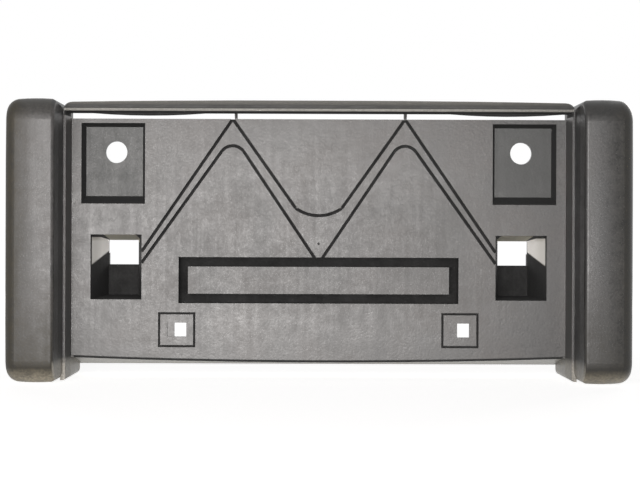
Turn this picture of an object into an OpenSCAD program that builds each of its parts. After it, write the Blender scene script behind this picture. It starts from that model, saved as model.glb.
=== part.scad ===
// Number plate holder: one black plastic moulding that takes a 12 x 6 inch plate
// between two tall guards, with its top edge held behind a lip.
// Front faces -Y, up is +Z, and the origin lies midway between the two bolt holes
// at the face of the bolt pads.

/* [Panel] */
// Width of the panel between the side rims
panel_w = 310.2; // [306:0.1:330]
// Height of the panel's top edge above the bolt line
panel_top = 20.6; // [16:0.1:26]
// Depth of the panel's lower corners below the bolt line
panel_drop = 129.4; // [124:0.1:136]
// How far the lower edge bows down in the middle
panel_bow = 2.8; // [1:0.1:6]
// Thickness of the panel
panel_t = 3; // [2.6:0.1:4]
// Chamfer along the panel's lower edge
edge_chamfer = 1.6; // [0.5:0.1:2]
// Depth from the panel's face back to the mounting plane
box_depth = 30; // [26:0.5:40]
// Wall thickness of the skirt and the pockets
wall = 2.4; // [2:0.1:3]
// How far the skirt flares below the panel's corners
skirt_flare = 6.6; // [3:0.1:9]

/* [Guards] */
// Overall width across both guards
overall_w = 379; // [370:0.5:395]
// Height of the guards above the bolt line
guard_top = 30.6; // [28:0.1:36]
// Height of the guards
guard_h = 173; // [168:0.5:182]
// How far the guards stand in front of the panel
guard_rise = 36; // [30:0.5:44]
// Rounding of the outer side
guard_round = 8; // [6:0.5:12]
// Rounding of both ends
guard_end_r = 14; // [10:0.5:18]
// Radius of the guard's inner front edge
guard_edge = 2.5; // [1.5:0.1:4]
// Radius of the guard's inner corners, seen from the front
guard_corner = 6.5; // [4:0.1:9]
// Radius of the slight crown across the guard's face
guard_crown = 130; // [80:1:240]
// How far the guard's inner side leans out between the ledge and the face
guard_lean = 1; // [0.4:0.1:2]
// How far the guard's outer side bows out at mid height
guard_bow = 1.2; // [0.5:0.1:3]
// Wall thickness of the hollow guards
guard_wall = 3; // [2.2:0.1:4]
// Thickness of the cross ribs inside the guards
guard_rib = 2.2; // [1.6:0.1:3]

/* [Rim and lip] */
// How far the rim and the lip stand in front of the panel
rim_rise = 12; // [9:0.5:16]
// How far the rim leans outward over its height
rim_lean = 1.5; // [0.5:0.1:2.5]
// Width of the rim's front ledge beside the guard
rim_ledge = 1.5; // [0.8:0.1:3]
// Height of the slot between the panel and the lip
slot_h = 3; // [2.4:0.1:5]
// Height of the lip at its middle
lip_h = 7.8; // [6.5:0.1:8.5]
// Thickness of the lip, front to back
lip_t = 9; // [7:0.1:10]
// How far the lip's top edge rises in the middle
lip_crown = 1.6; // [0.8:0.1:2.4]
// Corner radius where the lip turns into the rim
lip_corner = 5.3; // [3:0.1:7]
// Distance of the lip's left low spot from the middle
sag_left = 106; // [98:1:114]
// Distance of the lip's right low spot from the middle
sag_right = 117; // [108:1:122]
// Depth of the low spots
sag_h = 1.4; // [0.6:0.1:1.8]
// Length of the low spots
sag_len = 70; // [50:1:80]
// Distance of the left bridging web from the middle
web_left = 52.2; // [50:0.1:58]
// Distance of the right bridging web from the middle
web_right = 54.5; // [50:0.1:58]
// Thickness of the bridging webs
web_t = 1.5; // [1.2:0.1:3]
// How far the side walls reach behind the panel's face at the slot
slot_wall = 4; // [3:0.5:10]

/* [Bolt pads] */
// Distance between the two bolt holes
bolt_spacing = 256; // [250:0.5:262]
// Diameter of the bolt holes
bolt_hole_d = 13.8; // [10:0.1:16]
// Width of the pad recess
pad_w = 40; // [36:0.1:42]
// Distance of the recess centre from the middle
pad_x = 129.1; // [127:0.1:130]
// Height of the recess's top edge above the bolt line
pad_top = 17.9; // [15:0.1:18]
// Depth of its lower edge below the bolt line
pad_drop = 32.8; // [28:0.1:38]
// Depth of the recess
pad_depth = 6; // [4:0.1:9]
// Floor thickness of the pads
pad_t = 3; // [2.4:0.1:4]
// Lean of the recess's side walls
pad_lean = 2.1; // [1:0.1:3]
// Lean of its lower wall
pad_ramp = 5; // [3:0.1:7]
// Inner diameter of the hollow stand-off behind each pad
standoff_d = 26; // [24:0.5:28]

/* [Pockets] */
// Distance of the pocket's inner side from the middle
pocket_x = 111.1; // [110:0.1:114]
// Width of the pocket at the panel
pocket_w = 32.1; // [28:0.1:34]
// Depth of the pocket's top edge below the bolt line
pocket_top = 52.1; // [46:0.1:56]
// Height of the pocket at the panel
pocket_h = 40.8; // [36:0.1:44]
// Lean of the inner side wall over the pocket's depth
pocket_lean_in = 5.6; // [3:0.1:7]
// Lean of the outer side wall over the pocket's depth
pocket_lean_out = 7.1; // [3:0.1:8]
// Lean of the top wall over the pocket's depth
pocket_roof = 3.5; // [1:0.1:5]
// Height of the hole left open at the top of the rear wall
pocket_hole_h = 15.8; // [10:0.1:18]
// Height of the wedge on the outer wall above the hole's lower edge
wedge_h = 7.4; // [4:0.1:10]
// Thickness of the wedge at the rear
wedge_w = 0.6; // [0.4:0.1:2]

/* [Frame groove] */
// Outer width of the rectangular groove
frame_w = 175.8; // [160:0.1:180]
// Outer height of the rectangular groove
frame_h = 29; // [26:0.1:34]
// Depth of its centre below the bolt line
frame_z = 80.6; // [79:0.1:82]
// Width of the groove
frame_groove = 6; // [4:0.1:8]
// Depth of the groove
frame_depth = 9; // [6:0.1:12]

/* [Line grooves] */
// Width of the line grooves
line_w = 2; // [1:0.1:2.4]
// Depth of the line grooves
line_depth = 2; // [1:0.1:2.2]
// Distance of the two peaks from the middle
peak_x = 54.1; // [52:0.1:56]
// Radius of the wide arc between the legs
valley_r = 24.7; // [20:0.1:30]
// Depth of that arc's lowest point below the bolt line
valley_z = 39.9; // [36:0.1:44]
// Radius of the rounded inner peaks
apex_r = 8.5; // [6:0.1:11]
// Height of the inner peaks above the bolt line
apex_z = 3.8; // [1:0.1:6]

/* [Back] */
// Distance of the inner upright ribs from the middle
rib_inner_x = 30; // [24:1:40]
// Distance of the outer upright ribs from the middle
rib_outer_x = 104; // [98:1:105]
// Thickness of the upright ribs
rib_t = 2; // [1.6:0.1:3]
// Depth of the upright ribs behind the panel's face
rib_depth = 17; // [12:0.5:24]
// Width of the thickening behind the paired lines
line_back_w = 11; // [8:0.5:14]
// Height of that thickening
line_back_t = 2; // [1:0.1:3]

/* [Nut holes] */
// Distance between the two square openings
nut_spacing = 177.8; // [170:0.1:184]
// Depth of the square openings below the bolt line
nut_z = 111.8; // [108:0.1:115]
// Width of the square through hole
nut_hole_w = 7.6; // [6:0.1:9]
// Height of the square through hole
nut_hole_h = 8.8; // [7:0.1:10]
// Width of the ledge on the hole's left side
nut_ledge = 4.4; // [3:0.1:5]
// Depth of that ledge below the panel's face
nut_step = 1; // [0.4:0.1:1.6]
// Width of the square outline around each hole
nut_pad_w = 22; // [19:0.1:24]
// Height of the square outline
nut_pad_h = 20.6; // [18:0.1:22]
// Width of the outline's groove
nut_line_w = 1.4; // [1:0.1:2]

/* [Hidden] */
$fn = 96;
big_fn = 720;
eps = 0.4;
cross = 0.01; // arcs that run into each other reach this far over one another
beyond = 1; // how far a cutting outline runs past what it cuts
face_y = -box_depth;
rim_y = face_y - rim_rise;
front_y = face_y - guard_rise;
half_w = panel_w / 2;
rim_in = half_w + rim_lean;
rim_out = rim_in + rim_ledge;
guard_out = overall_w / 2;
slot_top = panel_top + slot_h;
lip_top = slot_top + lip_h;
lip_end = lip_top - lip_crown;
lip_r = lip_h / 2;
bow_r = (pow(half_w, 2) + pow(panel_bow, 2)) / (2 * panel_bow);
crown_r = (pow(rim_out, 2) + pow(lip_crown, 2)) / (2 * lip_crown);
guard_drop = guard_h - guard_top;
guard_w = guard_out - rim_out;
lean_end = max(guard_rise - rim_rise, guard_end_r + 4);
side_bow_r = (pow(guard_h / 2, 2) + pow(guard_bow, 2)) / (2 * guard_bow);
sag_r = (pow(sag_len / 2, 2) + pow(sag_h, 2)) / (2 * sag_h);
floor_y = face_y + pad_depth;
low_z = -panel_drop - skirt_flare;

// Plan outline (X, Y) raised from z0 to z1
module plan(z0, z1) translate([0, 0, z0]) linear_extrude(z1 - z0) children();

// Side outline (Y, Z) drawn out from x0 to x1
module side(x0, x1) translate([x0, 0, 0]) rotate([90, 0, 90]) linear_extrude(x1 - x0) children();

// Front outline (X, Z) drawn out from y0 back to y1
module front(y0, y1) translate([0, y1, 0]) rotate([90, 0, 0]) linear_extrude(y1 - y0) children();

// The right-hand shape and its mirror image
module both() { children(); mirror([1, 0, 0]) children(); }

// Rectangle with four round corners
module round_rect(x0, x1, z0, z1, r) {
  translate([x0 + r, z0]) square([x1 - x0 - 2 * r, z1 - z0]);
  translate([x0, z0 + r]) square([x1 - x0, z1 - z0 - 2 * r]);
  for (x = [x0 + r, x1 - r], z = [z0 + r, z1 - r]) translate([x, z]) circle(r);
}

// Straight stroke of width w from p to q
module stroke(p, q, w) {
  d = q - p;
  translate(p) rotate(atan2(d[1], d[0])) translate([0, -w / 2]) square([norm(d), w]);
}

// Ring of width w on radius r
module ring(r, w) difference() { circle(r + w / 2); circle(r - w / 2); }

// Rounded end of a section across a guard: its face lies at height t and its body above, up to `deep`.
// The face arches between the inner edge and the outer rounding, and crosses both at very small angles.
module crowned(t, deep, rounded = true) {
  x0 = rim_out + t;
  x1 = guard_out - t;
  side_x = x0 + guard_lean;
  r1 = guard_edge;
  r2 = min(guard_round, 0.55 * guard_w, guard_end_r - 3) - t;
  rc = guard_crown - t;
  mid = [(side_x + r1 + x1 - r2) / 2, t + rc];
  apart1 = rc - r1 + cross;
  apart2 = rc - r2 + cross;
  turn = asin((x1 - r2 - mid[0]) / apart2);
  normal1 = [-sin(turn), -cos(turn)];
  normal2 = [sin(turn), -cos(turn)];
  c1 = [side_x + r1, mid[1] - sqrt(pow(apart1, 2) - pow(mid[0] - side_x - r1, 2))];
  c2 = [x1 - r2, mid[1] - apart2 * cos(turn)];
  low = c2[1] + eps;
  inner = rounded ? [[c1[0], low], c1, c1 + (r1 + beyond) * normal1] : [[x0, low], [x0, t - beyond]];
  intersection() {
    translate(mid) circle(rc, $fn = big_fn);
    translate([x0 - beyond, t - beyond]) square([x1 - x0 + 2 * beyond, low - t + beyond]);
    union() {
      polygon(concat(inner, [c2 + (r2 + beyond) * normal2, c2, [c2[0], low]]));
      if (rounded) translate(c1) circle(r1);
      translate(c2) circle(r2);
    }
  }
  side = !rounded ? [[x0, c2[1]], [x0, deep]] :
    deep > guard_end_r ? [c1, [side_x, c1[1]], [side_x, guard_end_r], [x0, lean_end], [x0, deep]] :
    [c1, [side_x, c1[1]], [side_x, deep]];
  polygon(concat([[x1, deep], [x1, c2[1]], c2], side));
}

// Plan of a guard
module guard_plan(t) translate([0, front_y]) crowned(t, (t > 0 ? 1 : 0) - front_y);

// Front outline of a guard
module guard_outline(t) {
  translate([0, -guard_drop]) crowned(t, guard_h / 2, false);
  translate([0, guard_top]) mirror([0, 1]) crowned(t, guard_h / 2, false);
}

// Quarter turn of the guard's plan about its end axis, towards the foot
module guard_end(t) translate([0, front_y + guard_end_r, -guard_drop + guard_end_r])
  rotate([-90, 0, -90]) rotate_extrude(angle = 90)
    translate([guard_end_r, 0]) rotate(90) crowned(t, guard_end_r);

// Bounds of a guard seen from the front: round inner corners and a bowed outer side
module guard_bounds(t) {
  mid_z = (guard_top - guard_drop) / 2;
  r = guard_corner - t / 2;
  x0 = rim_out + t;
  intersection() {
    translate([guard_out - t - side_bow_r, mid_z]) circle(side_bow_r, $fn = big_fn);
    union() {
      round_rect(x0, x0 + 3 * r, -guard_drop + t, guard_top - t, r);
      translate([x0 + r, -guard_drop + t - 1]) square([guard_w, guard_h - 2 * t + 2]);
    }
  }
}

// A guard's form, drawn t inside its outer surface
module guard_form(t) intersection() {
  union() {
    plan(-guard_drop + guard_end_r, guard_top - guard_end_r) guard_plan(t);
    intersection() {
      front(front_y + guard_end_r, t > 0 ? 1 : 0) guard_outline(t);
      plan(-guard_drop, guard_top) guard_plan(t);
    }
    guard_end(t);
    translate([0, 0, guard_top - guard_drop]) mirror([0, 0, 1]) guard_end(t);
  }
  front(front_y, t > 0 ? 1 : 0) guard_bounds(t);
}

// Three cross ribs inside a guard
module guard_ribs() for (i = [1:3])
  translate([rim_out + 1, front_y + 12, -guard_drop + i * guard_h / 4 - guard_rib / 2])
    cube([guard_w - 3, guard_rise + box_depth - 16, guard_rib]);

module guard() difference() {
  guard_form(0);
  difference() { guard_form(guard_wall); guard_ribs(); }
}

// Side wall of the tray, from its front ledge back to the mounting plane
module rim_wall() intersection() {
  plan(-guard_drop, lip_top)
    polygon([[half_w, 0], [half_w, face_y], [rim_in, rim_y], [rim_out + 1.5, rim_y], [rim_out + 1.5, 0]]);
  front(rim_y, 0) union() {
    round_rect(half_w, rim_out + 20, -guard_drop, 0, 3.5);
    translate([0, -10]) square([rim_out, lip_end + 10 - lip_corner]);
    translate([0, -10]) square([rim_out - lip_corner, lip_end + 10]);
    translate([rim_out - lip_corner, lip_end - lip_corner]) circle(lip_corner);
  }
}

// Lip over the top of the plate, with a round nose and two low spots
module lip() {
  nose_y = rim_y + lip_r;
  intersection() {
    side(-rim_out, rim_out) {
      translate([nose_y, lip_top - lip_r]) circle(lip_r);
      translate([nose_y, slot_top]) square([lip_t - lip_r, lip_h]);
    }
    front(rim_y, rim_y + lip_t) intersection() {
      union() {
        translate([-rim_out + lip_corner, slot_top]) square([2 * (rim_out - lip_corner), lip_h]);
        translate([-rim_out, slot_top]) square([2 * rim_out, lip_end - lip_corner - slot_top]);
        both() translate([rim_out - lip_corner, lip_end - lip_corner]) circle(lip_corner);
      }
      translate([0, lip_top - crown_r]) circle(crown_r, $fn = big_fn);
    }
  }
  for (x = [-sag_left, sag_right]) front(nose_y, rim_y + lip_t) intersection() {
    translate([x, slot_top - sag_h + sag_r]) circle(sag_r, $fn = big_fn);
    translate([x - sag_len / 2, slot_top - sag_h - 1]) square([sag_len, sag_h + 1 + eps]);
  }
}

// Thin web that carries the lip over the slot at x, clear of the plate
module web(x) side(x - web_t / 2, x + web_t / 2)
  polygon([[face_y + 0.5, panel_top - 2], [face_y + 8, panel_top - 2], [face_y + 8, lip_top - 4],
    [rim_y + lip_t - 1, lip_top - 2.5], [rim_y + lip_t - 1, slot_top + 2.6], [face_y + 0.5, slot_top + 2.6]]);

// Notch that opens the side walls behind the slot
module slot_notch() translate([half_w - eps, face_y + slot_wall, panel_top])
  cube([guard_wall + rim_out - half_w + 2 * eps, box_depth - slot_wall + 1, guard_top - panel_top + 1]);

// Panel with a bowed and chamfered lower edge
module panel() {
  cz = bow_r - panel_drop - panel_bow;
  intersection() {
    front(face_y, face_y + panel_t) translate([-half_w - 1, -panel_drop - panel_bow])
      square([panel_w + 2, panel_drop + panel_bow + panel_top]);
    union() {
      translate([0, face_y + edge_chamfer, cz]) rotate([90, 0, 0])
        cylinder(h = edge_chamfer, r1 = bow_r, r2 = bow_r - edge_chamfer, $fn = big_fn);
      translate([0, 0, cz]) rotate([90, 0, 0])
        cylinder(h = -face_y - edge_chamfer, r = bow_r, $fn = big_fn);
    }
  }
}

// Flange behind the slot and the flared skirt below the panel
module skirt() {
  side(-half_w - 1, half_w + 1) {
    translate([face_y, panel_top - wall]) square([box_depth, wall]);
    polygon([[face_y + 0.5, -panel_drop + 0.5], [0, low_z], [0, low_z + wall],
      [face_y + panel_t, -panel_drop + wall + 1], [face_y + 0.5, -panel_drop + wall + 1]]);
  }
}

// Tapered box between the panel's face and a floor `deep` behind it, for the right side
module taper(x0, x1, z0, z1, in_x0, in_x1, in_z0, in_z1, deep) intersection() {
  end_y = face_y + deep;
  plan(z0, z1) polygon([[x0, face_y], [x1, face_y], [x1 - in_x1, end_y], [x0 + in_x0, end_y]]);
  side(x0, x1) polygon([[face_y, z0], [face_y, z1], [end_y, z1 - in_z1], [end_y, z0 + in_z0]]);
}

// Bolt pad recess, grown by g
module pad_recess(g, deep) taper(pad_x - pad_w / 2 - g, pad_x + pad_w / 2 + g, -pad_drop - g, pad_top + g,
  pad_lean, pad_lean, pad_ramp, pad_lean, deep);

// Pocket, grown by g
module pocket(g, deep) taper(pocket_x - g, pocket_x + pocket_w + g, -pocket_top - pocket_h - g, -pocket_top + g,
  pocket_lean_in, pocket_lean_out, pocket_lean_in / 3, pocket_roof, deep);

pocket_deep = box_depth - wall;
pocket_out_x = pocket_x + pocket_w;
hole_x = pocket_x + pocket_lean_in;
hole_w = pocket_w - pocket_lean_in - pocket_lean_out;
hole_z = -pocket_top - pocket_roof - pocket_hole_h;

// Open top of the pocket's rear wall
module pocket_hole() translate([hole_x, -wall - 1, hole_z]) cube([hole_w, wall + 2, pocket_hole_h]);

// Thicker lower part of the outer wall, whose top edge rises to the rear
module wedge() intersection() {
  plan(-pocket_top - pocket_h, hole_z + wedge_h) polygon([[pocket_out_x, face_y], [pocket_out_x + 1, face_y],
    [pocket_out_x + 1, 0], [pocket_out_x - pocket_lean_out - wedge_w, 0]]);
  side(hole_x, pocket_out_x + 1) polygon([[face_y, hole_z], [0, hole_z + wedge_h],
    [0, -pocket_top - pocket_h - 1], [face_y, -pocket_top - pocket_h - 1]]);
}

// Hollow stand-off behind a bolt pad
module standoff() translate([bolt_spacing / 2, 0, 0]) rotate([90, 0, 0]) difference() {
  cylinder(h = -floor_y - pad_t + eps, d = standoff_d + 5);
  translate([0, 0, -1]) cylinder(h = -floor_y - pad_t + 1, d = standoff_d);
}

// Rectangular ring of width g, centred on the frame groove
module frame_ring(w, h, g) translate([0, -frame_z]) difference() {
  square([w, h], center = true);
  square([w - 2 * g, h - 2 * g], center = true);
}

module frame_back() front(face_y + 1, face_y + frame_depth + wall)
  frame_ring(frame_w + 2 * wall, frame_h + 2 * wall, frame_groove + 2 * wall);

module frame_groove_cut() front(face_y - 1, face_y + frame_depth) frame_ring(frame_w, frame_h, frame_groove);

// Where the paired lines end at the pocket
foot = [pocket_x, -62.8];
inner_foot = [pocket_x, -69.9];
// Angles at which the arcs pass into the straight legs
valley_turn = 36;
apex_turn = 35;
arc_end = [valley_r * sin(valley_turn), -valley_z + valley_r * (1 - cos(valley_turn))];

// Right half of the outer line and of the inner line
module outer_line(w) {
  peak = [peak_x, panel_top];
  stroke(foot, peak + [-0.6, 0.9] * w, w);
  stroke(arc_end, peak + [0.6, 0.9] * w, w);
  intersection() {
    translate([0, valley_r - valley_z]) ring(valley_r, w);
    translate([-1, -valley_z - w]) square([arc_end[0] + 1.4, arc_end[1] + valley_z + w]);
  }
}

module inner_line(w) {
  c = [peak_x, apex_z - apex_r];
  t = apex_r * [cos(apex_turn), sin(apex_turn)];
  stroke(inner_foot, c + t, w);
  stroke([2, -frame_z + frame_h / 2 - 1], c + [-t[0], t[1]], w);
  intersection() {
    translate(c) ring(apex_r, w);
    translate(c + [-apex_r - w, t[1] - 0.3]) square([2 * (apex_r + w), apex_r]);
  }
}

module line_cut() front(face_y - 1, face_y + line_depth) both() {
  outer_line(line_w);
  inner_line(line_w);
}

// Thickening behind the paired lines
module line_backs() front(face_y + panel_t - eps, face_y + panel_t + line_back_t) both() {
  top = [peak_x, panel_top - line_back_w / 2];
  stroke([rib_outer_x, (foot[1] + inner_foot[1]) / 2 + line_back_w / 2], top, line_back_w);
  stroke(arc_end - [3, line_back_w], top, line_back_w);
}

// Square outline and stepped hole for a plate nut, at x
module nut_outline(x) translate([x, -nut_z]) difference() {
  square([nut_pad_w + nut_line_w, nut_pad_h + nut_line_w], center = true);
  square([nut_pad_w - nut_line_w, nut_pad_h - nut_line_w], center = true);
}

module nut_hole(x) translate([x - (nut_hole_w + nut_ledge) / 2, 0, -nut_z - nut_hole_h / 2]) {
  translate([0, face_y - 1, 0]) cube([nut_hole_w + nut_ledge, nut_step + 1, nut_hole_h]);
  translate([nut_ledge, face_y - 1, 0]) cube([nut_hole_w, panel_t + 2, nut_hole_h]);
}

// Upright stiffening ribs behind the panel
module back_ribs() both() for (x = [rib_inner_x, rib_outer_x])
  translate([x - rib_t / 2, face_y + 1, -panel_drop + 1])
    cube([rib_t, rib_depth - 1, panel_drop + panel_top - 2]);

module solids() {
  panel();
  skirt();
  lip();
  back_ribs();
  frame_back();
  line_backs();
  web(-web_left);
  web(web_right);
  both() {
    guard();
    rim_wall();
    pad_recess(wall, pad_depth + pad_t);
    pocket(wall, box_depth);
    standoff();
  }
}

// Small round mark of the mould in the middle of the panel
module mould_mark() translate([0, face_y + 0.4, -57.6]) rotate([90, 0, 0]) cylinder(h = 1, d = 1.6);

module cuts() {
  mould_mark();
  frame_groove_cut();
  line_cut();
  front(face_y - 1, face_y + line_depth * 0.75) for (s = [-1, 1]) nut_outline(s * nut_spacing / 2);
  for (s = [-1, 1]) nut_hole(s * nut_spacing / 2);
  both() {
    slot_notch();
    pad_recess(0, pad_depth);
    difference() { pocket(0, pocket_deep); wedge(); }
    difference() { pocket_hole(); wedge(); }
    translate([bolt_spacing / 2, 1, 0]) rotate([90, 0, 0]) cylinder(h = box_depth, d = bolt_hole_d);
  }
}

// Modelled from the mounting plane at Y = 0, then moved to bring the bolt pads' face there
module plate_holder() color([0.16, 0.16, 0.16]) translate([0, box_depth - pad_depth, 0]) difference() {
  solids();
  cuts();
}

plate_holder();
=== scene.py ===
import math

import bpy
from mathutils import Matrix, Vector


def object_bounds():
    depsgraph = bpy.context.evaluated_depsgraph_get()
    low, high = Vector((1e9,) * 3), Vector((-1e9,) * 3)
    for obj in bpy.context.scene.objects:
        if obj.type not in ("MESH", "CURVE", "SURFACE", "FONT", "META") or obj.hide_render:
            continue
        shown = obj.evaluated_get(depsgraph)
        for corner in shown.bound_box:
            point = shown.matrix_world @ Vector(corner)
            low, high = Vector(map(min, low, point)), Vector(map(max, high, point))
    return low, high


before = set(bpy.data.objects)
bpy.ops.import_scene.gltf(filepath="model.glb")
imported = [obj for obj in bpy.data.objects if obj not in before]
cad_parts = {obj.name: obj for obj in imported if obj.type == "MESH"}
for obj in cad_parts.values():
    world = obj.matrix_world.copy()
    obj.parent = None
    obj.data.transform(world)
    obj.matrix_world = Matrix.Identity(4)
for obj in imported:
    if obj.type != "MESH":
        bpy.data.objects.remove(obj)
cad_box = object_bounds()
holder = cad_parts["plate_holder"]

# Lengths and places are in metres, in the frame. A span along x holds on both sides of x = 0, except where
# a comment says right. Where a zone fades, it goes from nothing at the first value to full at the second.
FACE_Y = -0.006                    # front face of the panel
FLOOR_Z = cad_box[0].z - 0.0002    # just below the guards' feet
FAR = 1.0                          # beyond the part in every direction

# The camera stands in front of the panel, a little left of its middle
CAMERA_DISTANCE = 0.760
CAMERA_X = -0.008
CAMERA_Z = -0.0552
CAMERA_LENS = 68.1                 # millimetres, as the sensor
CAMERA_SENSOR = 36
CAMERA_ROLL = -0.2                 # degrees
CAMERA_SHIFT = 0.0221
CAMERA_NEAR = 0.01
CAMERA_FAR = 50

# Soft lamps round the holder: azimuth in degrees, where 0 is straight in front, height, width and height of
# the lamp itself, watts, and the height at which it aims on the upright line through the frame's middle
LAMPS = {
    "key": (-10, -0.08, (0.3, 0.12), 7.6, -0.05),
    "key_right": (5, -0.08, (0.3, 0.12), 5.0, -0.05),
    "left_low": (-25, -0.04, (0.3, 0.2), 1.1, -0.04),
    "left_high": (-25, 0.2, (0.3, 0.24), 2.1, -0.055),
    "right_high": (5, 0.2, (0.3, 0.24), 0.8, -0.055),
    "back_left": (-150, 0.35, (0.5, 0.4), 1.5, -0.05),
    "back_right": (140, 0.35, (0.5, 0.4), 2.2, -0.05),
}
LIGHT_REACH = 1.2                  # from that line to each lamp
LIGHT_COLOUR = (1.0, 0.965, 0.945)
WORLD_FILL = 0.02                  # light of the surroundings on matt surfaces
FLOOR_HALF = 60.0
FLOOR_COLOUR = (0.9, 0.9, 0.9)
FLOOR_GLOW = 0.83                  # share of the near floor's white that a shadow can't take away
FLOOR_FADE = (0.25, 0.9)           # distances between which the floor turns fully white

# Borders between the zones of the finish and of the painted light and shade
SOFT = 0.0002                      # half width of a soft border
SKIN = 0.0008                      # a recess zone reaches this far past its deepest face
GRAIN_Y = FACE_Y + 0.0003          # the grained front face ends here, and the recesses begin
DOWNWARD = (-0.3, -0.5)            # z of the normal, for faces that look down
NOT_UPWARD = (0.5, 0.3)            # z of the normal, for faces that don't look up
RIGHT_X = (-0.01, 0.01)            # the right half of the holder

# Panel: its line grooves, bolt pads, frame groove and nut openings
GROOVES_X = 0.1535
GROOVES_Z = (-0.126, 0.0204)
LINE_Y = -0.0036                   # just behind the floors of the line grooves
PAD_X = (0.1081, 0.1501)
PAD_Z = (-0.0338, 0.0189)
PAD_FLOOR_Y = (-0.0004, 0.0006)
FRAME_HALF = (0.0879, 0.0145)      # half the outer width and height of the frame groove
FRAME_Z = -0.0806
FRAME_GROOVE = 0.006
FRAME_Y = 0.003
NUT_X = (0.080, 0.098)
NUT_Z = (-0.118, -0.106)
FLARE_Y = -0.0030                  # the lower edge's chamfer with painted shade ends here, and its flare with painted light from the floor begins
FLARE_Z = -0.122
MIDDLE_TOP = (-0.012, -0.036)      # the duller middle of the panel fades in from its top, bottom and sides
MIDDLE_LOW = (-0.112, -0.088)
MIDDLE_X = (0.130, 0.090)
LOW_X = (0.1535, 0.1525)           # the smoother strip below the middle ends at the side walls
RIGHT_END_SHADE_X = (0.095, 0.155)      # painted shade darkens the panel towards its right end

# Pockets: their walls lean together towards the back
POCKET_X = (0.1111, 0.1432)        # inner and outer wall at the panel's face
POCKET_Z = (-0.0939, -0.0511)
POCKET_LEAN = (0.0056, 0.0071)     # how far the inner and outer wall lean
POCKET_Y = 0.0216
WALL_FADE = (0.0014, 0.0010)       # the painted shade, painted light and roughness inside fade in over these distances outside the walls
ROOF_X = (0.1150, 0.1350)          # part of the roof over the hole, where light is painted pale
ROOF_H = 0.006
SHUT_OFF_X = (-0.0012, -0.0008)    # polish and painted light on the outer wall, from these distances inside the wall outwards
SHUT_OFF_Y = (FACE_Y + 0.002, POCKET_Y + SKIN)
SHUT_OFF_FADE = (0.002, 0.012)     # its painted light gets paler between these two y
SHUT_OFF_Z = (-0.0722, -0.0712)    # its slanting lower border at the panel's face
SHUT_OFF_SLANT = 0.009             # how far that border rises to the back
SHUT_OFF_TOP = (-0.0536, -0.0541)  # its upper border, below the roof

# Guards and their feet
GUARD_X = (0.1590, 0.1600)
GUARD_SIDE_X = (0.1575, 0.1618)    # inner side, where shade is painted
GUARD_SIDE_Y = -0.0385             # front end of that side's zone
GUARD_DARK_X = (0.1565, 0.1575)    # the right guard, with its inner side, where shade is painted
GUARD_EDGE_X = (0.170, 0.184)      # from the middle of the face to the outer edge, which is rougher and has painted shade
# the rougher finish and the painted shade also come in towards the lower end and the top
GUARD_EDGE_LOW = (-0.072, -0.127)
GUARD_EDGE_TOP = (0.016, 0.040)
GUARD_LOW_END_Z = (-0.1325, -0.139)        # lower end, where light from the pale floor is painted
# the feet's inner sides get painted light from the pale floor
FOOT_X = (0.1540, 0.1600)
FOOT_TOP = (-0.128, -0.132)

# Lip over the plate, and the webs over the slot below it
LIP_X = 0.1575
LIP_BACK_Y = FACE_Y - 0.002        # back end of the lip's zone
LIP_Z = 0.0215
LIP_UNDER_Z = 0.0244               # the underside below this gets painted shade
LIP_HIGHLIGHT_Z = (0.0245, 0.0259)       # painted highlight along the lower edge
LIP_RIM_Z = (0.0278, 0.0308)       # painted light grows towards the top
WEB_X = (0.0508, 0.0558)
WEB_Z = (0.0211, LIP_UNDER_Z)
WEB_RECESS_SHARE = 0.6                     # share of the recess's painted shade and high roughness on the webs

# Colours of the plastic, and of the painted light and shade on it
PLASTIC_COOL = (0.0450, 0.0445, 0.0435)
PLASTIC_WARM = (0.0475, 0.0445, 0.0425)
PAD_COLOUR = (0.022, 0.0235, 0.0225)
# painted shade on the guards' outer edges, lower ends and tops
GUARD_EDGE_SHADE_COLOUR = (0.0135, 0.0105, 0.0045)
# painted shade on the guards' inner sides
GUARD_SIDE_SHADE_COLOUR = (0.020, 0.0195, 0.019)
# painted light from the pale floor on the guards' lower ends
LOW_END_FLOOR_LIGHT = (0.225, 0.203, 0.155)
# painted light from the pale floor on the feet
FOOT_FLOOR_LIGHT = (0.30, 0.285, 0.25)
# painted shade darkens the whole lip
LIP_SHADE_COLOUR = (0.016, 0.0155, 0.0145)
# painted highlight along the lip's lower edge
LIP_HIGHLIGHT_COLOUR = (0.28, 0.275, 0.255)
# painted light towards the lip's top
LIP_TOP_LIGHT_COLOUR = (0.20, 0.195, 0.18)
# painted light from the pale floor on the lower edge's flare
FLARE_FLOOR_LIGHT = (0.36, 0.35, 0.31)
# painted shade, near black, in the grooves, pockets and other recesses
RECESS_SHADE_COLOUR = (0.003, 0.003, 0.003)
# painted light on the roof over the holes
ROOF_LIGHT_COLOUR = (0.50, 0.48, 0.40)
# painted light on the pockets' outer walls, paler towards the back
SHUT_OFF_LIGHT_COLOUR = (0.72, 0.70, 0.65)
SHUT_OFF_LIGHT_PALE = (0.92, 0.90, 0.86)
RIGHT_SHADE = 0.56                 # painted shade: factor on the colour of the right guard
RIGHT_END_SHADE = 0.75                  # painted shade: factor on the colour at the panel's right end

# Roughness of the plastic
PLASTIC_ROUGH = 0.4
MIDDLE_ROUGH = 0.434
LOW_ROUGH = 0.372
PAD_ROUGH = 0.48
GUARD_ROUGH = 0.43
GUARD_EDGE_ROUGH = 0.54
GUARD_RIGHT_ROUGH = 0.39
OUTER_RIGHT_ROUGH = 0.30
LIP_ROUGH = 0.65
LIP_HIGHLIGHT_ROUGH = 0.3
RECESS_ROUGH = 0.85
SHUT_OFF_ROUGH = 0.12

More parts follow.
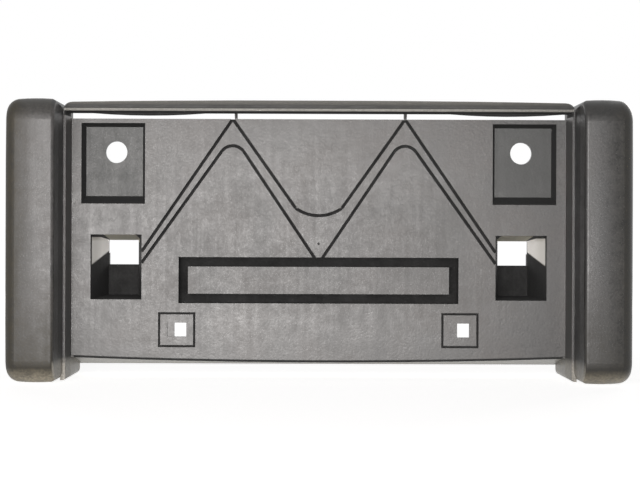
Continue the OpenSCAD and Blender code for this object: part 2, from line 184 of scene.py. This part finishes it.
# Patterns in the plastic: width of the blotches, how many times as tall they are, detail of the noise, and
# how far the pattern changes the colour (as a share), the roughness and the surface's height (in metres)
PATTERNS = {
    "clouds": dict(size=0.022, stretch=1, detail=3.0, colour=0.15, rough=0.03, height=0.0),
    "spots": dict(size=0.006, stretch=1, detail=2.0, colour=0.20, rough=0.038, height=0.00004),
    "streaks": dict(size=0.003, stretch=25, detail=2.0, colour=0.04, rough=0.024, height=0.00001),
    "grain": dict(size=0.0014, stretch=1, detail=2.0, colour=0.35, rough=0.042, height=0.00005),
}
NOISE_SPAN = (0.3, 0.7)            # the noise mostly stays between these
LIP_CALM = 0.3                     # share of the patterns' colour that is left on the lip
TINT_SIZE = 0.03                   # blotches of the cool and the warm plastic
TINT_SPAN = (0.35, 0.65)


class Sockets:
    """Output sockets kept by name."""


class Nodes:
    """Adds nodes to one tree by short calls, most of which return an output socket."""

    def __init__(self, tree):
        self.tree = tree

    def new(self, kind):
        return self.tree.nodes.new(kind)

    def put(self, socket, value):
        """Links an output socket to an input, or sets a number or colour on it."""
        if hasattr(value, "is_output"):
            self.tree.links.new(value, socket)
        else:
            socket.default_value = (*value, 1) if isinstance(value, tuple) else value

    def math(self, operation, *values):
        """Math operation on sockets and numbers."""
        node = self.new("ShaderNodeMath")
        node.operation = operation
        for socket, value in zip(node.inputs, values):
            self.put(socket, value)
        return node.outputs[0]

    def fold(self, operation, values):
        """Joins sockets and numbers, one after the other, by a math operation."""
        total = values[0]
        for value in values[1:]:
            total = self.math(operation, total, value)
        return total

    def add(self, *values):
        return self.fold("ADD", values)

    def subtract(self, *values):
        return self.fold("SUBTRACT", values)

    def times(self, *values):
        """Product. Of masks, it is where all of them hold."""
        return self.fold("MULTIPLY", values)

    def largest(self, *values):
        """Largest value. Of masks, it is where any of them holds."""
        return self.fold("MAXIMUM", values)

    def absolute(self, value):
        return self.math("ABSOLUTE", value)

    def split(self, vector):
        """The X, Y and Z of a vector."""
        node = self.new("ShaderNodeSeparateXYZ")
        self.put(node.inputs[0], vector)
        return node.outputs

    def ramp(self, value, span, to=(0.0, 1.0)):
        """Linear ramp of a value along a span, held at its ends."""
        node = self.new("ShaderNodeMapRange")
        self.put(node.inputs["Value"], value)
        for name, number in zip(("From Min", "From Max", "To Min", "To Max"), (*span, *to)):
            self.put(node.inputs[name], number)
        return node.outputs["Result"]

    def band(self, value, span):
        """1 within a span and 0 outside it, with soft ends."""
        low, high = span
        return self.times(self.ramp(value, (low - SOFT, low + SOFT)),
                          self.ramp(value, (high + SOFT, high - SOFT)))

    def mix(self, factor, first, second, blend="MIX"):
        """Mixes two colours, each three numbers or a socket."""
        node = self.new("ShaderNodeMix")
        node.data_type = "RGBA"
        node.blend_type = blend
        inputs = {socket.name: socket for socket in node.inputs if socket.enabled}
        self.put(inputs["Factor"], factor)
        self.put(inputs["A"], first)
        self.put(inputs["B"], second)
        return next(socket for socket in node.outputs if socket.enabled)

    def noise(self, place, size, stretch, detail):
        """Noise from 0 to 1, with blotches about `size` metres wide and `stretch` times as tall."""
        scale = self.new("ShaderNodeVectorMath")
        scale.operation = "MULTIPLY"
        self.put(scale.inputs[0], place)
        scale.inputs[1].default_value = (1 / size, 1 / size, 1 / (size * stretch))
        node = self.new("ShaderNodeTexNoise")
        self.put(node.inputs["Vector"], scale.outputs[0])
        self.put(node.inputs["Scale"], 1.0)
        self.put(node.inputs["Detail"], detail)
        return node.outputs["Fac"]

    def background_ray(self):
        """1 for the rays that show the background: camera, glossy and transmission rays."""
        path = self.new("ShaderNodeLightPath")
        return self.largest(path.outputs["Is Camera Ray"], path.outputs["Is Glossy Ray"],
                            path.outputs["Is Transmission Ray"])


def make_camera():
    data = bpy.data.cameras.new("camera")
    data.lens = CAMERA_LENS
    data.sensor_width = CAMERA_SENSOR
    data.shift_x = CAMERA_SHIFT
    data.clip_start = CAMERA_NEAR
    data.clip_end = CAMERA_FAR
    obj = bpy.data.objects.new("camera", data)
    obj.location = (CAMERA_X, FACE_Y - CAMERA_DISTANCE, CAMERA_Z)
    obj.rotation_euler = (math.radians(90), math.radians(CAMERA_ROLL), 0)
    bpy.context.collection.objects.link(obj)
    bpy.context.scene.camera = obj


def make_lamp(name, azimuth, height, size, watts, aim_height):
    turn = math.radians(azimuth)
    place = Vector((math.sin(turn) * LIGHT_REACH, -math.cos(turn) * LIGHT_REACH, height))
    data = bpy.data.lights.new(name, "AREA")
    data.shape = "RECTANGLE"
    data.size, data.size_y = size
    data.energy = watts
    data.color = LIGHT_COLOUR
    obj = bpy.data.objects.new(name, data)
    obj.location = place
    obj.rotation_euler = (Vector((0, 0, aim_height)) - place).to_track_quat("-Z", "Y").to_euler()
    bpy.context.collection.objects.link(obj)


def make_world():
    """White where it is seen, and a weak light on matt surfaces."""
    world = bpy.data.worlds.new("studio")
    world.use_nodes = True
    world.node_tree.nodes.clear()
    nodes = Nodes(world.node_tree)
    seen_or_not = nodes.new("ShaderNodeMixShader")
    nodes.put(seen_or_not.inputs[0], nodes.background_ray())
    for i, strength in ((1, WORLD_FILL), (2, 1.0)):
        white = nodes.new("ShaderNodeBackground")
        nodes.put(white.inputs["Color"], (1.0, 1.0, 1.0))
        nodes.put(white.inputs["Strength"], strength)
        nodes.put(seen_or_not.inputs[i], white.outputs[0])
    nodes.put(nodes.new("ShaderNodeOutputWorld").inputs["Surface"], seen_or_not.outputs[0])
    bpy.context.scene.world = world


def make_floor():
    """Pale floor that runs out to the white horizon and keeps a weak shadow."""
    mat = bpy.data.materials.new("floor_paper")
    mat.use_nodes = True
    nodes = Nodes(mat.node_tree)
    bsdf = mat.node_tree.nodes["Principled BSDF"]
    nodes.put(bsdf.inputs["Base Color"], FLOOR_COLOUR)
    nodes.put(bsdf.inputs["Roughness"], 1.0)
    nodes.put(bsdf.inputs["Specular IOR Level"], 0.0)
    nodes.put(bsdf.inputs["Emission Color"], (1.0, 1.0, 1.0))
    distance = nodes.new("ShaderNodeVectorMath")
    distance.operation = "LENGTH"
    nodes.put(distance.inputs[0], nodes.new("ShaderNodeNewGeometry").outputs["Position"])
    glow = nodes.ramp(distance.outputs["Value"], FLOOR_FADE, (FLOOR_GLOW, 1.0))
    nodes.put(bsdf.inputs["Emission Strength"], nodes.times(nodes.background_ray(), glow))

    mesh = bpy.data.meshes.new("floor")
    corners = [(x * FLOOR_HALF, y * FLOOR_HALF, FLOOR_Z) for x, y in ((-1, -1), (1, -1), (1, 1), (-1, 1))]
    mesh.from_pydata(corners, [], [(0, 1, 2, 3)])
    mesh.materials.append(mat)
    floor = bpy.data.objects.new("floor", mesh)
    bpy.context.collection.objects.link(floor)


def read_place(nodes):
    """Where a point of the holder lies, and how far its face looks up."""
    geometry = nodes.new("ShaderNodeNewGeometry")
    at = Sockets()
    at.across, at.y, at.z = nodes.split(geometry.outputs["Position"])
    at.x = nodes.absolute(at.across)
    at.up = nodes.split(geometry.outputs["True Normal"])["Z"]
    return at


def block(nodes, at, x=None, y=None, z=None):
    """1 within a block of space, given by its spans along some of the axes."""
    spans = ((at.x, x), (at.y, y), (at.z, z))
    return nodes.times(*(nodes.band(value, span) for value, span in spans if span))


def pocket_walls(nodes, at):
    """x at a pocket's inner and outer wall and z at its polish, as if these ran straight to the back."""
    depth = nodes.ramp(at.y, (FACE_Y, POCKET_Y))
    inner = nodes.subtract(at.x, nodes.times(depth, POCKET_LEAN[0]))
    outer = nodes.add(at.x, nodes.times(depth, POCKET_LEAN[1]))
    slanted = nodes.subtract(at.z, nodes.times(depth, SHUT_OFF_SLANT))
    return inner, outer, slanted


def recess_zone(nodes, at):
    """The near black painted shade and high roughness on the inner faces of the grooves, pads and pockets
    and on the lower edge's chamfer, and more weakly on the webs.
    """
    lines = block(nodes, at, x=(-FAR, GROOVES_X), y=(GRAIN_Y, LINE_Y), z=GROOVES_Z)
    nut_openings = block(nodes, at, x=NUT_X, z=NUT_Z)
    lines = nodes.subtract(lines, nodes.times(lines, nut_openings))
    pad_sides = block(nodes, at, x=PAD_X, y=(GRAIN_Y, PAD_FLOOR_Y[0]), z=PAD_Z)
    past_frame = nodes.largest(nodes.subtract(at.x, FRAME_HALF[0]),
                               nodes.subtract(nodes.absolute(nodes.subtract(at.z, FRAME_Z)), FRAME_HALF[1]))
    frame_groove = nodes.times(nodes.band(past_frame, (-FRAME_GROOVE - SKIN, SKIN)),
                               nodes.band(at.y, (GRAIN_Y, FRAME_Y + SKIN)))
    inner, outer, _ = pocket_walls(nodes, at)
    pockets = nodes.times(block(nodes, at, y=(GRAIN_Y, POCKET_Y + SKIN), z=POCKET_Z),
                          nodes.ramp(inner, [POCKET_X[0] - fade for fade in WALL_FADE]),
                          nodes.ramp(outer, [POCKET_X[1] + fade for fade in WALL_FADE]))
    # painted shade on the lower edge's chamfer
    lower_edge = block(nodes, at, x=(-FAR, GROOVES_X), y=(GRAIN_Y, FLARE_Y), z=(-FAR, FLARE_Z))
    webs = block(nodes, at, x=WEB_X, y=(GRAIN_Y, FAR), z=WEB_Z)
    return nodes.largest(lines, pad_sides, frame_groove, pockets, lower_edge, nodes.times(webs, WEB_RECESS_SHARE))


def shut_off_zone(nodes, at):
    """The polished upper part of each pocket's outer wall, down to a slanting line, where light is painted
    pale.
    """
    _, outer, slanted = pocket_walls(nodes, at)
    return nodes.times(nodes.ramp(outer, [POCKET_X[1] + fade for fade in SHUT_OFF_X]),
                       nodes.ramp(outer, [POCKET_X[1] + fade for fade in WALL_FADE]),
                       nodes.band(at.y, SHUT_OFF_Y), nodes.ramp(slanted, SHUT_OFF_Z),
                       nodes.ramp(at.z, SHUT_OFF_TOP))


def finish_zones(nodes, at):
    """Masks of the zones in which the finish differs from the plain grained plastic, most of them with
    painted light or shade.
    """
    zone = Sockets()
    zone.recess = recess_zone(nodes, at)
    zone.shut_off = shut_off_zone(nodes, at)
    right = nodes.ramp(at.across, RIGHT_X)
    not_upward = nodes.ramp(at.up, NOT_UPWARD)

    zone.pad_floor = block(nodes, at, x=PAD_X, y=PAD_FLOOR_Y, z=PAD_Z)
    zone.middle = nodes.times(nodes.ramp(at.z, MIDDLE_TOP), nodes.ramp(at.z, MIDDLE_LOW),
                              nodes.ramp(at.x, MIDDLE_X))
    zone.low = nodes.times(nodes.ramp(at.z, MIDDLE_LOW[::-1]), nodes.ramp(at.x, LOW_X))
    # painted light from the pale floor on the downward faces of the lower edge's flare
    zone.flare = nodes.times(block(nodes, at, x=(-FAR, GROOVES_X), y=(FLARE_Y, FAR), z=(-FAR, FLARE_Z)),
                             nodes.ramp(at.up, DOWNWARD))
    # painted light on the roof's downward faces over the holes
    roof_z = (POCKET_Z[1] - ROOF_H, POCKET_Z[1])
    zone.roof = nodes.times(block(nodes, at, x=ROOF_X, y=(GRAIN_Y, POCKET_Y), z=roof_z), not_upward)

    zone.guard = nodes.ramp(at.x, GUARD_X)
    outward = nodes.ramp(at.x, GUARD_EDGE_X)
    # painted shade, with more roughness, at the guards' outer edges, lower ends and tops
    zone.guard_edge = nodes.times(zone.guard, nodes.largest(outward, nodes.ramp(at.z, GUARD_EDGE_LOW),
                                                            nodes.ramp(at.z, GUARD_EDGE_TOP)))
    # painted shade on the guards' inner sides
    zone.guard_side = block(nodes, at, x=GUARD_SIDE_X, y=(GUARD_SIDE_Y, FAR))
    zone.guard_right = nodes.times(right, zone.guard)
    zone.outer_right = nodes.times(zone.guard_right, outward)
    # painted shade on the right guard and its inner side, above the lower end
    zone.guard_dark = nodes.times(right, nodes.ramp(at.x, GUARD_DARK_X), nodes.ramp(at.z, GUARD_LOW_END_Z[::-1]))
    # painted light from the pale floor on the lower ends' faces that don't look up
    zone.scuff = nodes.times(zone.guard, nodes.ramp(at.z, GUARD_LOW_END_Z), not_upward)
    # painted light from the pale floor on the feet's inner sides
    zone.foot = nodes.times(nodes.band(at.x, FOOT_X), nodes.ramp(at.z, FOOT_TOP))

    zone.lip = block(nodes, at, x=(-FAR, LIP_X), y=(-FAR, LIP_BACK_Y), z=(LIP_Z, FAR))
    # painted highlight along the lip's lower edge
    zone.lip_rub = nodes.times(zone.lip, nodes.band(at.z, LIP_HIGHLIGHT_Z))
    # painted light towards the lip's top
    zone.lip_rim = nodes.times(zone.lip, nodes.ramp(at.z, LIP_RIM_Z))
    # painted shade on the lip's underside
    zone.lip_under = nodes.times(zone.lip, nodes.ramp(at.z, (LIP_UNDER_Z + SOFT, LIP_UNDER_Z - SOFT)))
    return zone


def uneven_shade(nodes, zone, at, noises):
    """Factor on the colour: the patterns, calmer on the lip, and painted shade on the right guard and
    towards the panel's right end.
    """
    shade = nodes.add(*(nodes.ramp(noises[name], NOISE_SPAN, (-pattern["colour"], pattern["colour"]))
                        for name, pattern in PATTERNS.items()))
    shade = nodes.times(shade, nodes.ramp(zone.lip, (0, 1), (1, LIP_CALM)))
    return nodes.times(nodes.add(shade, 1.0), nodes.ramp(zone.guard_dark, (0, 1), (1, RIGHT_SHADE)),
                       nodes.ramp(at.across, RIGHT_END_SHADE_X, (1, RIGHT_END_SHADE)))


def plastic_colour(nodes, zone, at, place, noises):
    """Two near tones of the plastic, then the zones, each over the ones before it; most zones paint light
    or shade.
    """
    two_tones = nodes.ramp(nodes.noise(place, TINT_SIZE, stretch=1, detail=1.0), TINT_SPAN)
    colour = nodes.mix(two_tones, PLASTIC_COOL, PLASTIC_WARM)
    # darker pad floors, then painted shade or painted light in the other zones
    for mask, tone in ((zone.pad_floor, PAD_COLOUR), (zone.guard_edge, GUARD_EDGE_SHADE_COLOUR),
                       (zone.guard_side, GUARD_SIDE_SHADE_COLOUR), (zone.scuff, LOW_END_FLOOR_LIGHT),
                       (zone.foot, FOOT_FLOOR_LIGHT), (zone.lip, LIP_SHADE_COLOUR), (zone.lip_rub, LIP_HIGHLIGHT_COLOUR),
                       (zone.lip_rim, LIP_TOP_LIGHT_COLOUR), (zone.lip_under, RECESS_SHADE_COLOUR),
                       (zone.flare, FLARE_FLOOR_LIGHT)):
        colour = nodes.mix(mask, colour, tone)
    grey = nodes.new("ShaderNodeCombineColor")
    shade = uneven_shade(nodes, zone, at, noises)
    for socket in grey.inputs:
        nodes.put(socket, shade)
    colour = nodes.mix(1.0, colour, grey.outputs[0], "MULTIPLY")
    # painted light on the pockets' outer walls, paler towards the back
    painted_wall_light = nodes.mix(nodes.ramp(at.y, SHUT_OFF_FADE), SHUT_OFF_LIGHT_COLOUR, SHUT_OFF_LIGHT_PALE)
    # painted shade in the recesses, painted light under the roof and on the pockets' outer walls
    for mask, tone in ((zone.recess, RECESS_SHADE_COLOUR), (zone.roof, ROOF_LIGHT_COLOUR), (zone.shut_off, painted_wall_light)):
        colour = nodes.mix(mask, colour, tone)
    return colour


def plastic_roughness(nodes, zone, noises):
    """Roughness of the plain plastic with its patterns, and each zone's change from what lies under it."""
    parts = [PLASTIC_ROUGH]
    for name, pattern in PATTERNS.items():
        parts.append(nodes.ramp(noises[name], NOISE_SPAN, (-pattern["rough"], pattern["rough"])))
    outer_right_under = GUARD_RIGHT_ROUGH + GUARD_EDGE_ROUGH - GUARD_ROUGH
    for mask, under, rough in (
            (zone.middle, PLASTIC_ROUGH, MIDDLE_ROUGH),
            (zone.low, PLASTIC_ROUGH, LOW_ROUGH),
            (zone.pad_floor, PLASTIC_ROUGH, PAD_ROUGH),
            (zone.guard, PLASTIC_ROUGH, GUARD_ROUGH),
            (zone.guard_edge, GUARD_ROUGH, GUARD_EDGE_ROUGH),
            (zone.guard_right, GUARD_ROUGH, GUARD_RIGHT_ROUGH),
            (zone.outer_right, outer_right_under, OUTER_RIGHT_ROUGH),
            (zone.lip, PLASTIC_ROUGH, LIP_ROUGH),
            (zone.lip_rub, LIP_ROUGH, LIP_HIGHLIGHT_ROUGH),
            (zone.lip_under, LIP_ROUGH, RECESS_ROUGH),
            (zone.recess, PLASTIC_ROUGH, RECESS_ROUGH),
            (zone.shut_off, RECESS_ROUGH, SHUT_OFF_ROUGH)):
        parts.append(nodes.times(mask, rough - under))
    return nodes.add(*parts)


def plastic_bump(nodes, noises):
    """Surface normal with the patterns that have a height."""
    bump = nodes.new("ShaderNodeBump")
    nodes.put(bump.inputs["Strength"], 1.0)
    nodes.put(bump.inputs["Distance"], 1.0)
    heights = [nodes.times(noises[name], pattern["height"])
               for name, pattern in PATTERNS.items() if pattern["height"] > 0]
    nodes.put(bump.inputs["Height"], nodes.add(*heights))
    return bump.outputs[0]


def make_plastic():
    mat = bpy.data.materials.new("moulding_plastic")
    mat.use_nodes = True
    nodes = Nodes(mat.node_tree)
    at = read_place(nodes)
    zone = finish_zones(nodes, at)
    place = nodes.new("ShaderNodeTexCoord").outputs["Object"]
    noises = {name: nodes.noise(place, pattern["size"], pattern["stretch"], pattern["detail"])
              for name, pattern in PATTERNS.items()}
    bsdf = mat.node_tree.nodes["Principled BSDF"]
    nodes.put(bsdf.inputs["Base Color"], plastic_colour(nodes, zone, at, place, noises))
    nodes.put(bsdf.inputs["Roughness"], plastic_roughness(nodes, zone, noises))
    nodes.put(bsdf.inputs["Normal"], plastic_bump(nodes, noises))
    for slot in holder.material_slots:
        slot.material = mat


make_camera()
make_world()
make_floor()
make_plastic()
for lamp_name, lamp in LAMPS.items():
    make_lamp(lamp_name, *lamp)

view = bpy.context.scene.view_settings
view.view_transform = "Standard"
